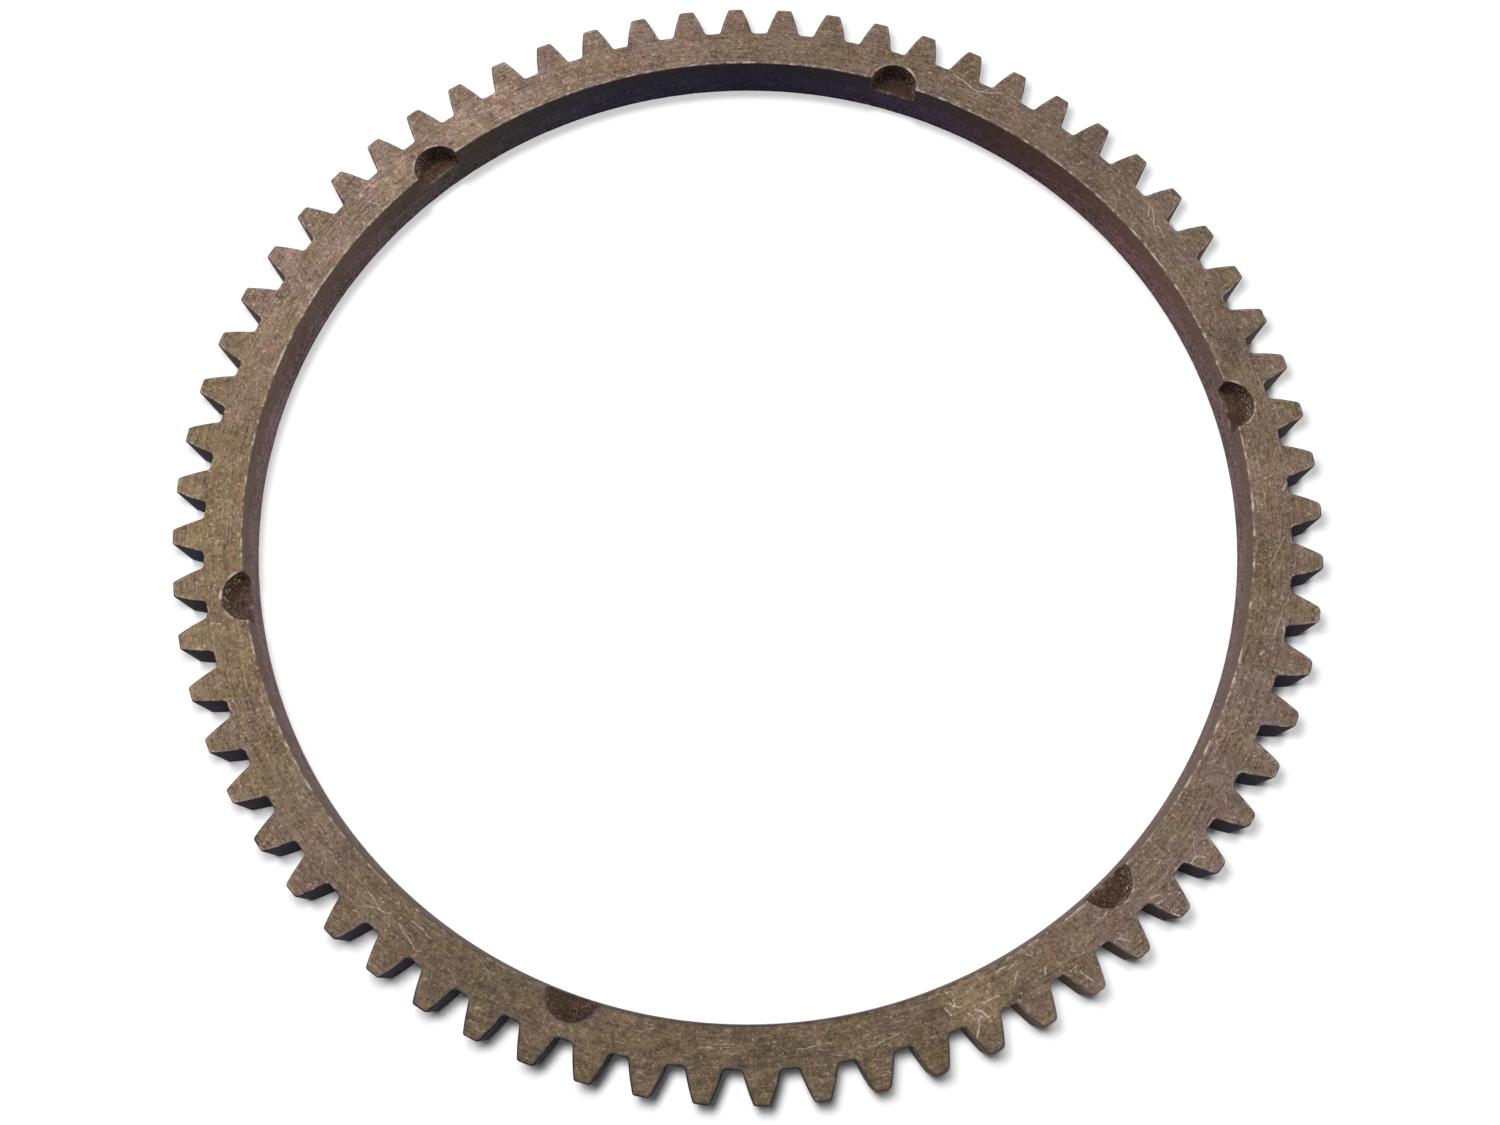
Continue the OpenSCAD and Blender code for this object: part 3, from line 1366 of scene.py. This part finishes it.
    def hang_sky(self) -> None:
        """Set a faint, even sky, which the camera and reflections see as white."""
        world = bpy.data.worlds.new("sky")
        world.use_nodes = True
        bpy.context.scene.world = world
        g = Graph(world.node_tree)
        level = g.total(g.product(self.seen(g), 1.0 - self.sky), self.sky)
        back = world.node_tree.nodes["Background"]
        back.inputs["Color"].default_value = (1.0, 1.0, 1.0, 1.0)
        g.feed(back.inputs["Strength"], level)

    def camera(self, height: float) -> None:
        """Set the camera where the photograph was taken from.

        Args:
            height: Height of the gear's upper face, at which the camera aims.
        """
        data = bpy.data.cameras.new("camera")
        data.sensor_fit = "HORIZONTAL"
        data.sensor_width = SENSOR_WIDTH
        data.lens = self.lens
        data.clip_start = 0.01
        data.clip_end = 20.0
        camera = bpy.data.objects.new("camera", data)
        bpy.context.scene.collection.objects.link(camera)
        camera.matrix_world = self.camera_pose(height)
        bpy.context.scene.camera = camera

    def camera_pose(self, height: float) -> Matrix:
        """Return the camera's place and turn in metres, for an aim at a height in millimetres."""
        place = Vector(self.camera_place) * MM
        aim = Vector((*self.camera_aim, height)) * MM
        turn = (aim - place).to_track_quat("-Z", "Y").to_matrix().to_4x4()
        roll = Matrix.Rotation(math.radians(self.camera_roll), 4, "Z")
        return Matrix.Translation(place) @ turn @ roll

    def place_at(self, pixel: Point, height: float) -> Point:
        """Return the place that the camera sees at a pixel.

        Args:
            pixel: Pixel of the photograph's frame.
            height: Height of the place in millimetres.

        Returns:
            The angle and the radius of the place.
        """
        focal = self.lens / SENSOR_WIDTH * FRAME_SIZE[0]
        right = (pixel[0] - FRAME_SIZE[0] / 2) / focal
        up = (FRAME_SIZE[1] / 2 - pixel[1]) / focal
        ray = self.camera_pose(height).to_3x3() @ Vector((right, up, -1.0))
        eye = Vector(self.camera_place)
        place = eye + ray * ((height - eye.z) / ray.z)
        return (heading((place.x, place.y)), math.hypot(place.x, place.y))

    def scratch(self, seen: SeenScratch, height: float) -> Scratch:
        """Return the scratch at a height that the camera sees between two pixels."""
        start = self.place_at(seen.start_pixel, height)
        end = self.place_at(seen.end_pixel, height)
        return Scratch(start, end, seen.width, seen.strength)

    def colours(self) -> None:
        """Show colours as they are written."""
        bpy.context.scene.view_settings.view_transform = "Standard"


def gear_finishes(studio: Studio, height: float) -> list[SteelFinish]:
    """Return the finishes of the gear's zones, in the zones' order.

    Args:
        studio: The studio, whose camera gives the scratches that are listed as pixels their places.
        height: Height of the gear's upper face in millimetres.

    Returns:
        One finish a zone.
    """
    seen = (
        SeenScratch(start_pixel=(983, 1003), end_pixel=(999, 996)),
        SeenScratch(start_pixel=(977.6, 1038), end_pixel=(979.2, 1019)),
        SeenScratch(start_pixel=(975.6, 1009.6), end_pixel=(982.4, 1012.4), width=0.24),
        SeenScratch(start_pixel=(982.4, 1012.4), end_pixel=(991, 1019.6)),
        SeenScratch(start_pixel=(1081, 972.4), end_pixel=(1093, 981.6)),
        SeenScratch(start_pixel=(1070, 972.4), end_pixel=(1077, 966), strength=0.8),
        SeenScratch(start_pixel=(1045, 967), end_pixel=(1046, 973.6), width=0.24, strength=0.8),
        SeenScratch(start_pixel=(1009, 969), end_pixel=(1016, 961), strength=0.8),
        SeenScratch(start_pixel=(945, 1008), end_pixel=(951, 1014), width=0.26),
        SeenScratch(start_pixel=(949, 1004), end_pixel=(960, 1008), width=0.24),
        SeenScratch(start_pixel=(1014, 986), end_pixel=(1017, 972), width=0.18, strength=0.8),
        SeenScratch(start_pixel=(996, 973), end_pixel=(1006, 967), strength=0.8),
        SeenScratch(start_pixel=(1026, 954), end_pixel=(1034, 958), width=0.18, strength=0.7),
        SeenScratch(start_pixel=(1190, 862), end_pixel=(1197, 856), width=0.20),
        SeenScratch(start_pixel=(1197, 856), end_pixel=(1206, 857), width=0.20),
        SeenScratch(start_pixel=(1150, 899), end_pixel=(1160, 894), width=0.20),
        SeenScratch(start_pixel=(1156, 904), end_pixel=(1162, 900), width=0.20),
        SeenScratch(start_pixel=(1174, 914), end_pixel=(1181, 916), width=0.26),
        SeenScratch(start_pixel=(1119, 938), end_pixel=(1130, 942), width=0.18, strength=0.8),
    )
    lines = (
        Scratch((35.3, 97.6), (38.6, 101.2)),
        Scratch((34.6, 98.6), (36.4, 99.4)),
        Scratch((38.0, 99.2), (39.2, 101.6)),
        Scratch((60.6, 101.4), (63.2, 99.4), 0.2, 1.0),
        Scratch((63.2, 99.4), (66.6, 101.0), 0.2, 1.0),
        Scratch((61.4, 99.0), (65.4, 98.6), 0.12, 0.5),
        Scratch((66.0, 100.2), (65.2, 102.6), 0.12, 0.7),
        Scratch((332.5, 95.5), (336.0, 99.6), 0.14, 0.7),
        Scratch((317.5, 96.0), (319.6, 100.6), 0.12, 0.5),
        Scratch((345.6, 99.4), (350.4, 101.2), 0.14, 0.7),
        Scratch((353.6, 97.4), (357.4, 100.8), 0.14, 0.6),
        Scratch((186.0, 97.0), (187.6, 99.6), 0.18, 0.5),
        Scratch((229.0, 97.6), (231.4, 98.6), 0.18, 0.8),
        Scratch((230.2, 99.2), (232.4, 97.8), 0.18, 0.8),
        Scratch((233.6, 98.2), (236.4, 99.8), 0.16, 0.8),
        Scratch((234.4, 96.4), (237.2, 96.8), 0.16, 0.7),
        Scratch((145.4, 100.4), (147.4, 100.0), 0.16, 0.6),
        Scratch((2.2, 100.4), (3.0, 101.5), 0.3, 1.0),
        Scratch((2.4, 98.4), (3.4, 98.9), 0.22, 0.8),
        Scratch((343.4, 97.9), (344.0, 98.3), 0.3, 1.0),
        Scratch((334.4, 104.6), (334.9, 101.0), 0.15, 0.8),
        Scratch((341.9, 104.0), (342.3, 101.0), 0.17, 0.8),
        Scratch((346.0, 101.8), (348.6, 100.2), 0.14, 0.7),
        Scratch((276.4, 98.6), (279.6, 98.2), 0.14, 0.6),
        Scratch((283.2, 100.0), (286.8, 99.0), 0.14, 0.7),
        Scratch((266.6, 97.4), (270.4, 97.6), 0.12, 0.5),
        *(studio.scratch(mark, height) for mark in seen),
    )
    clouds = (
        # Small patches that make the upper face lighter or darker in places; the broad ones follow
        Cloud(124, 98, 11, 0.42),
        Cloud(139, 99, 9, 0.36),
        Cloud(112, 97, 9, 0.15),
        Cloud(158, 98, 14, 0.15),
        Cloud(185, 98, 8, 0.2),
        Cloud(232, 98, 7, 0.12),
        Cloud(294, 98, 7, 0.55),
        Cloud(335, 98, 9, 0.12),
        Cloud(4, 97, 9, 0.22),
        Cloud(106, 102, 4, -0.4),
        # Broad patches: lighter and bluer on the upper left and left, a painted sheen with some patina, and
        # darker at the front, painted shade with some patina; the last two only tint the face
        Cloud(128, 98, 85, 0.47, 0.14),
        Cloud(187, 98, 60, 0.20, -0.16),
        Cloud(260, 98, 84, -0.36, -0.14),
        Cloud(52, 98, 75, 0.0, 0.05),
        Cloud(325, 98, 50, 0.0, 0.12),
        # Two more small patches
        Cloud(20, 101, 8, -0.25),
        Cloud(48, 98, 16, -0.12),
    )
    return [
        FaceFinish("steel_face", lines=lines, clouds=clouds, height=height, worn=0.8),
        # Painted shade: the flanks' near-black tone stands for walls turned from the light, and its bluish
        # cast is a painted reflection
        FlankFinish(
            "steel_flank_painted_shade",
            tone=(0.042, 0.036, 0.055),
            pink=(0.052, 0.038, 0.056),
            olive=(0.040, 0.035, 0.042),
            dark=(0.018, 0.016, 0.024),
            rust=(0.050, 0.036, 0.040),
            scratches=0.2,
            specks=0.08,
            worn=0.12,
            metallic=0.0,
            specular=0.04,
            roughness=0.7,
        ),
        BoreFinish(
            "steel_bore",
            height=height,
            tone=(0.205, 0.135, 0.128),
            pink=(0.225, 0.138, 0.132),
            olive=(0.180, 0.130, 0.112),
            rust=(0.200, 0.110, 0.080),
            grain=1.2,
            scratches=0.2,
            specks=0.15,
            worn=0.25,
            metallic=0.0,
            specular=0.07,
            roughness=0.66,
        ),
        PocketFinish(
            "steel_pocket",
            tone=(0.080, 0.047, 0.032),
            pink=(0.092, 0.047, 0.037),
            olive=(0.074, 0.047, 0.027),
            rust=(0.110, 0.050, 0.030),
            dark=(0.038, 0.019, 0.013),
            grain=1.1,
            specks=0.0,
            scratches=0.2,
            worn=0.5,
            metallic=0.0,
            specular=0.08,
            bump=0.9,
        ),
    ]


def bore_radius() -> float:
    """Return the bore's radius in millimetres, as the record states it."""
    mounts = frame["record"]["mounts"]
    return next(mount["dims"]["r_mm"] for mount in mounts if mount["name"] == "bore")


def main() -> None:
    """Build the gear, dress it and set it in the studio."""
    logging.basicConfig(level=logging.INFO, format="%(name)s: %(message)s")
    low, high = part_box("ring_gear")
    teeth = ToothForm()
    teeth.addendum = high[0] / MM - teeth.pitch_r
    gear = RingGear(thickness=(high[2] - low[2]) / MM, bore_r=bore_radius(), teeth=teeth)
    piece = gear.mesh()
    studio = Studio()
    finishes = gear_finishes(studio, gear.thickness)
    for finish in finishes:
        piece.data.materials.append(finish.make())
    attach(piece, "root")
    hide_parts("ring_gear")
    log.info("gear: %d teeth, %.1f mm thick, bore radius %.1f mm", teeth.teeth, gear.thickness, gear.bore_r)

    floor = studio.floor()
    studio.light(piece, floor)
    studio.hang_sky()
    studio.camera(gear.thickness)
    studio.colours()
    log.info("studio: floor, six lamps, sky and camera")


if __name__ == "__main__":
    main()
